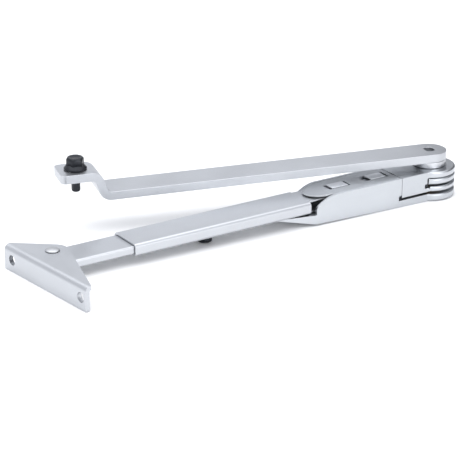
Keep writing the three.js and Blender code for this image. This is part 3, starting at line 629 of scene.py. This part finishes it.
def helix_tree():
    """A wire of round or pointed section that follows a helix, for threads and springs."""
    name = "Wound wire"
    if name in bpy.data.node_groups:
        return bpy.data.node_groups[name]
    tree = bpy.data.node_groups.new(name, "GeometryNodeTree")
    tree.interface.new_socket("Geometry", in_out="OUTPUT", socket_type="NodeSocketGeometry")
    for label, kind in (("Turns", "NodeSocketFloat"), ("Radius", "NodeSocketFloat"),
                        ("Length", "NodeSocketFloat"), ("Wire radius", "NodeSocketFloat"),
                        ("Steps per turn", "NodeSocketInt"), ("Section corners", "NodeSocketInt"),
                        ("Start", "NodeSocketVector"), ("Direction", "NodeSocketVector"),
                        ("Finish", "NodeSocketMaterial")):
        tree.interface.new_socket(label, in_out="INPUT", socket_type=kind)
    nodes, links = tree.nodes, tree.links
    source = nodes.new("NodeGroupInput").outputs
    spiral = nodes.new("GeometryNodeCurveSpiral")
    links.new(source["Steps per turn"], spiral.inputs["Resolution"])
    links.new(source["Turns"], spiral.inputs["Rotations"])
    links.new(source["Radius"], spiral.inputs["Start Radius"])
    links.new(source["Radius"], spiral.inputs["End Radius"])
    links.new(source["Length"], spiral.inputs["Height"])
    upright = nodes.new("GeometryNodeSetCurveNormal")
    upright.mode = "Z_UP"
    links.new(spiral.outputs["Curve"], upright.inputs["Curve"])
    section = nodes.new("GeometryNodeCurvePrimitiveCircle")
    section.mode = "RADIUS"
    links.new(source["Section corners"], section.inputs["Resolution"])
    links.new(source["Wire radius"], section.inputs["Radius"])
    sweep = nodes.new("GeometryNodeCurveToMesh")
    sweep.inputs["Fill Caps"].default_value = True
    links.new(upright.outputs["Curve"], sweep.inputs["Curve"])
    links.new(section.outputs["Curve"], sweep.inputs["Profile Curve"])
    place = nodes.new("GeometryNodeTransform")
    links.new(sweep.outputs["Mesh"], place.inputs["Geometry"])
    links.new(source["Start"], place.inputs["Translation"])
    links.new(source["Direction"], place.inputs["Rotation"])
    realize = nodes.new("GeometryNodeRealizeInstances")
    links.new(place.outputs["Geometry"], realize.inputs["Geometry"])
    coat = nodes.new("GeometryNodeSetMaterial")
    links.new(realize.outputs["Geometry"], coat.inputs["Geometry"])
    links.new(source["Finish"], coat.inputs["Material"])
    links.new(coat.outputs["Geometry"], nodes.new("NodeGroupOutput").inputs["Geometry"])
    return tree


def wound_wire(name, values):
    """Runs the helix tree with these named inputs and returns its plain mesh."""
    tree = helix_tree()
    holder = bpy.data.objects.new(name, bpy.data.meshes.new(name))
    bpy.context.scene.collection.objects.link(holder)
    modifier = holder.modifiers.new("Wound wire", "NODES")
    modifier.node_group = tree
    for item in tree.interface.items_tree:
        if item.in_out == "INPUT" and item.name in values:
            modifier[item.identifier] = values[item.name]
    holder.update_tag()
    bpy.context.view_layer.update()
    depsgraph = bpy.context.evaluated_depsgraph_get()
    mesh = bpy.data.meshes.new_from_object(holder.evaluated_get(depsgraph), depsgraph=depsgraph)
    mesh.name = name
    bpy.data.objects.remove(holder)
    if not mesh.polygons:
        raise RuntimeError(f"{name}: the helix made no faces")
    for polygon in mesh.polygons:
        polygon.use_smooth = True
    return mesh


def thread(name, centre, z_start, z_end, material):
    """A pointed ridge wound between two heights, half sunk in the screw's core."""
    sizes = settings().fasteners
    ridge = sizes.thread_depth
    length = z_end - z_start
    return wound_wire(name, {
        "Turns": length / sizes.pitch, "Radius": THREAD_RADIUS - ridge, "Length": length,
        "Wire radius": ridge, "Steps per turn": 48, "Section corners": 4,
        "Start": (centre.x, centre.y, z_start), "Direction": (0.0, 0.0, 0.0), "Finish": material,
    })


# ---------------------------------------------------------------------------------------------------------
# Operators, one for each group of pieces
# ---------------------------------------------------------------------------------------------------------

class LINKARM_OT_main_arm(bpy.types.Operator):
    """Make the cranked main arm with rolled edges"""
    bl_idname = "linkarm.main_arm"
    bl_label = "Main arm"

    def execute(self, context):
        options = settings()
        coat = silver_coat("Silver coat, main arm", options.finishes.silver, angle=ARM_ANGLE)
        finished_node("main_arm", options.edges.bar, coat, BAR_SHARP)
        return {"FINISHED"}


class LINKARM_OT_spindle_screw(bpy.types.Operator):
    """Make the black flange screw that clamps the arm to the closer's spindle"""
    bl_idname = "linkarm.spindle_screw"
    bl_label = "Spindle screw"

    def execute(self, context):
        options = settings()
        sizes = options.fasteners
        black = black_finish("Blackened steel, spindle screw", options.finishes.black)
        low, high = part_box("spindle_screw")
        centre = middle("spindle_screw")
        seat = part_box("main_arm")[1][2] + FIT
        plate_bottom = seat - FIT - ARM_THICKNESS
        flange = (high[0] - low[0]) / 2
        neck = THREAD_RADIUS - sizes.thread_depth
        point = neck - 0.25 * MM
        tip = low[2] + 1.5 * MM
        start = plate_bottom - 3 * sizes.pitch
        rim = seat + sizes.flange_rim
        cone_top = seat + sizes.flange_rise + 0.2 * MM
        profile = [
            (0, low[2]), (point - 1.5 * MM, low[2]), (point - 0.5 * MM, low[2] + 0.45 * MM), (point, tip),
            (point, start), (neck, start + 0.4 * MM), (neck, seat),
            (flange - EDGE_BREAK, seat), (flange, seat + EDGE_BREAK),
            (flange, rim - EDGE_BREAK), (flange - EDGE_BREAK, rim),
            (sizes.spindle_flats / 2 + 0.5 * MM, cone_top - 0.4 * MM),
            (sizes.spindle_flats / 2 - 0.6 * MM, cone_top), (0, cone_top),
        ]
        head = hexagon_head(
            centre, sizes.spindle_flats, seat + HIDDEN_RUN, high[2], sizes.chamfer, turn=ARM_ANGLE)
        shells = [
            as_mesh(lathe(profile, centre), "shank"),
            as_mesh(head, "head"),
            thread("spindle thread", centre, start + sizes.pitch / 2, plate_bottom + 2 * MM, black),
        ]
        show("spindle_screw" + FINISHED, joined("spindle_screw" + FINISHED, shells), black, "spindle_screw")
        return {"FINISHED"}


class LINKARM_OT_elbow(bpy.types.Operator):
    """Make the spacer, axle, detent disc, bushes and cap of the elbow"""
    bl_idname = "linkarm.elbow"
    bl_label = "Elbow stack"

    def execute(self, context):
        options = settings()
        edges, finishes = options.edges, options.finishes
        centre = middle("pivot_axle")
        zinc = turned_metal("Turned zinc, elbow", finishes.zinc, centre)
        steel = turned_metal("Ground steel, axle", finishes.steel, centre)
        coat = silver_coat("Silver coat, disc", finishes.housing)
        bronze = porous_bronze("Sintered bronze", finishes.bronze)
        finished_node("elbow_spacer", edges.turned * 2, zinc)
        finished_node("pivot_cap", edges.turned, zinc)
        finished_node("pivot_axle", edges.turned, steel)
        finished_lugs("detent_disc", edges.lug, coat)
        for node in ("upper_bush", "lower_bush"):
            finished_node(node, edges.turned, bronze)
        return {"FINISHED"}


class LINKARM_OT_housing(bpy.types.Operator):
    """Make the pressed housing, its cover, the knuckle block and the spring seat"""
    bl_idname = "linkarm.housing"
    bl_label = "Housing"

    def execute(self, context):
        options = settings()
        edges, finishes = options.edges, options.finishes
        coat = silver_coat("Silver coat, housing", finishes.housing, roughness=0.36)
        # The cover's coat is the housing silver darkened to 0.8: painted shade where the cover lies under
        # the main arm.
        cover = silver_coat("Silver coat, cover, painted shade", shade(finishes.housing, 0.8), roughness=0.36)
        zinc = silver_coat("Bright zinc, seat", finishes.zinc, roughness=0.3)
        finished_lugs("housing_channel", edges.lug, coat)
        finished_node("housing_cover", edges.sheet, cover)
        finished_lugs("knuckle_block", edges.lug, coat)
        finished_node("spring_seat", edges.sheet * 0.8, zinc)
        return {"FINISHED"}


class LINKARM_OT_latch(bpy.types.Operator):
    """Make the sprung latch inside the housing"""
    bl_idname = "linkarm.latch"
    bl_label = "Latch"

    def execute(self, context):
        options = settings()
        edges, finishes = options.edges, options.finishes
        roller = middle("latch_roller")
        rod = middle("guide_rod")
        zinc = silver_coat("Bright zinc, slide", finishes.zinc, roughness=0.3)
        steel = turned_metal("Ground steel, roller", finishes.steel, roller)
        drawn = turned_metal("Drawn steel, rod and spring", finishes.steel, rod, axis="X")
        finished_node("latch_slide", edges.sheet, zinc)
        finished_node("latch_roller", edges.turned, steel)
        finished_node("roller_pin", edges.turned, steel)
        finished_node("guide_rod", edges.turned, drawn)
        self.make_spring(drawn)
        return {"FINISHED"}

    def make_spring(self, material):
        """Winds the spring and attaches it to its body."""
        fasteners = settings().fasteners
        low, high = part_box("latch_spring")
        wire = fasteners.spring_wire
        axis_height = middle("guide_rod").z
        coil_radius = (high.y - low.y) / 2 - wire
        mesh = wound_wire("latch_spring" + FINISHED, {
            "Turns": float(fasteners.spring_turns), "Radius": coil_radius,
            "Length": high.x - low.x - 2 * wire,
            "Wire radius": wire, "Steps per turn": 40, "Section corners": 14,
            "Start": (low.x + wire, 0.0, axis_height), "Direction": (0.0, math.pi / 2, 0.0),
            "Finish": material,
        })
        spring = show("latch_spring" + FINISHED, mesh, material, "latch_spring")
        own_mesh(spring)


class LINKARM_OT_forearm(bpy.types.Operator):
    """Make the forearm's tube and the bar that slides in it"""
    bl_idname = "linkarm.forearm"
    bl_label = "Tube and bar"

    def execute(self, context):
        options = settings()
        coat = silver_coat("Silver coat, forearm", options.finishes.silver)
        for node in ("outer_tube", "inner_bar"):
            finished_node(node, options.edges.sheet * FINER, coat, BAR_SHARP)
        return {"FINISHED"}


class LINKARM_OT_clamp(bpy.types.Operator):
    """Make the clamp screw and its washer"""
    bl_idname = "linkarm.clamp"
    bl_label = "Clamp screw"

    def execute(self, context):
        options = settings()
        sizes = options.fasteners
        black = black_finish("Blackened steel, clamp screw", options.finishes.black)
        low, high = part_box("clamp_screw")
        centre = middle("clamp_screw")
        head_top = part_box("clamp_washer")[0][2] - FIT
        neck = THREAD_RADIUS - sizes.thread_depth
        dog = high[2] - 1 * MM  # where the plain point starts
        profile = [
            (0, head_top - HIDDEN_RUN), (neck, head_top - HIDDEN_RUN), (neck, dog - 0.2 * MM),
            (neck - 0.5 * MM, dog), (neck - 0.5 * MM, high[2]), (0, high[2]),
        ]
        head = hexagon_head(centre, sizes.clamp_flats, head_top, low[2], sizes.chamfer, turn=math.pi)
        shells = [
            as_mesh(lathe(profile, centre), "shank"),
            as_mesh(head, "head"),
            thread("clamp thread", centre, head_top - 0.4 * MM, dog - 1 * MM, black),
        ]
        show("clamp_screw" + FINISHED, joined("clamp_screw" + FINISHED, shells), black, "clamp_screw")
        finished_node("clamp_washer", options.edges.turned, black)
        return {"FINISHED"}


class LINKARM_OT_foot(bpy.types.Operator):
    """Make the foot bracket, its rivet and the washer"""
    bl_idname = "linkarm.foot"
    bl_label = "Foot bracket"

    def execute(self, context):
        options = settings()
        finishes, edges = options.finishes, options.edges
        coat = silver_coat("Silver coat, bracket", finishes.silver)
        zinc = turned_metal("Turned zinc, rivet", finishes.zinc, FOOT)
        finished_node("foot_bracket", edges.sheet, coat, BAR_SHARP)
        dull = turned_metal("Dull zinc, rivet", shade(finishes.zinc, 0.72), FOOT, roughness=0.4)
        finished_node("foot_rivet", edges.turned, dull, RIVET_SHARP)
        finished_node("foot_washer", edges.turned, zinc)
        return {"FINISHED"}


class LINKARM_OT_stage(bpy.types.Operator):
    """Make the pale floor, the soft light and the camera"""
    bl_idname = "linkarm.stage"
    bl_label = "Stage"

    def execute(self, context):
        self.make_floor()
        self.make_flag()
        self.make_light()
        self.make_camera()
        return {"FINISHED"}

    def make_floor(self):
        """The arm rests on its elbow and on the bracket's lower edge, so the floor leans to touch both."""
        options = settings().stage
        foot = Vector(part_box("foot_bracket")[0])
        contact = -options.contact
        slope = (foot.z - FLOOR_CLEARANCE) / (contact - foot.x)
        reach = options.floor_size
        mesh = bpy.data.meshes.new("floor")
        corners = [(x, y, (contact - x) * slope) for x, y in
                   ((-reach, -reach), (reach, -reach), (reach, reach), (-reach, reach))]
        mesh.from_pydata(corners, [], [(0, 1, 2, 3)])
        floor = bpy.data.objects.new("floor", mesh)
        bpy.context.scene.collection.objects.link(floor)
        finish = Finish("Pale floor")
        finish.shader.inputs["Base Color"].default_value = (*options.floor_colour, 1.0)
        finish.shader.inputs["Roughness"].default_value = MATT
        finish.shader.inputs["Specular IOR Level"].default_value = 0.1
        mesh.materials.append(finish.material)

    def make_flag(self):
        """A dark card beyond the elbow that only shows in reflections and shades the round lugs' sides."""
        options = settings().stage
        distance, side = options.flag_distance, options.flag_width / 2
        mesh = bpy.data.meshes.new("flag")
        corners = [(distance, -side, options.flag_foot), (distance, -side, options.flag_height),
                   (distance, side, options.flag_height), (distance, side, options.flag_foot)]
        mesh.from_pydata(corners, [], [(0, 1, 2, 3)])
        flag = bpy.data.objects.new("flag", mesh)
        bpy.context.scene.collection.objects.link(flag)
        finish = Finish("Dark card")
        finish.shader.inputs["Base Color"].default_value = (*options.flag_colour, 1.0)
        finish.shader.inputs["Roughness"].default_value = MATT
        mesh.materials.append(finish.material)
        flag.visible_camera = False
        flag.visible_shadow = False

    def make_light(self):
        options = settings().stage
        scene = bpy.context.scene
        world = bpy.data.worlds.new("Soft studio")
        scene.world = world
        world.use_nodes = True
        background = world.node_tree.nodes["Background"]
        background.inputs["Color"].default_value = (*options.sky_colour, 1.0)
        background.inputs["Strength"].default_value = options.sky_strength
        scene.view_settings.view_transform = "Standard"
        for name, place, target, size, power in (
            ("Overhead softbox", (-0.25, 0.05, 1.6), (-0.15, 0, 0), 2.4, options.overhead_power),
            ("Front softbox", (0.05, -2.0, 0.35), (-0.15, 0, 0), 1.2, options.front_power),
        ):
            data = bpy.data.lights.new(name, "AREA")
            data.shape = "SQUARE"
            data.size = size
            data.energy = power
            light = bpy.data.objects.new(name, data)
            light.location = place
            direction = Vector(target) - Vector(place)
            light.rotation_euler = direction.to_track_quat("-Z", "Y").to_euler()
            scene.collection.objects.link(light)

    def make_camera(self):
        options = settings().stage
        data = bpy.data.cameras.new("Camera")
        data.lens = options.lens
        data.sensor_width = 36.0
        data.clip_start = 0.01
        data.clip_end = 50.0
        camera = bpy.data.objects.new("Camera", data)
        camera.location = options.camera_place
        camera.rotation_euler = (math.pi / 2 - options.camera_elevation, 0.0, options.camera_azimuth)
        bpy.context.scene.collection.objects.link(camera)
        bpy.context.scene.camera = camera


OPERATORS = (
    LINKARM_OT_stage,
    LINKARM_OT_main_arm,
    LINKARM_OT_spindle_screw,
    LINKARM_OT_elbow,
    LINKARM_OT_housing,
    LINKARM_OT_latch,
    LINKARM_OT_forearm,
    LINKARM_OT_clamp,
    LINKARM_OT_foot,
)


class LINKARM_PT_panel(bpy.types.Panel):
    """Lists the steps that make the link arm"""
    bl_idname = "LINKARM_PT_panel"
    bl_label = "Link arm"
    bl_space_type = "VIEW_3D"
    bl_region_type = "UI"
    bl_category = "Link arm"

    def draw(self, context):
        for operator in OPERATORS:
            self.layout.operator(operator.bl_idname)


CLASSES = (
    LINKARM_PG_finishes,
    LINKARM_PG_edges,
    LINKARM_PG_fasteners,
    LINKARM_PG_stage,
    LINKARM_PG_settings,
    *OPERATORS,
    LINKARM_PT_panel,
)


def register():
    for item in CLASSES:
        bpy.utils.register_class(item)
    bpy.types.Scene.link_arm = PointerProperty(type=LINKARM_PG_settings)


def unregister():
    del bpy.types.Scene.link_arm
    for item in reversed(CLASSES):
        bpy.utils.unregister_class(item)


def main():
    register()
    for operator in OPERATORS:
        group, name = operator.bl_idname.split(".")
        getattr(getattr(bpy.ops, group), name)()


if __name__ == "__main__":
    main()
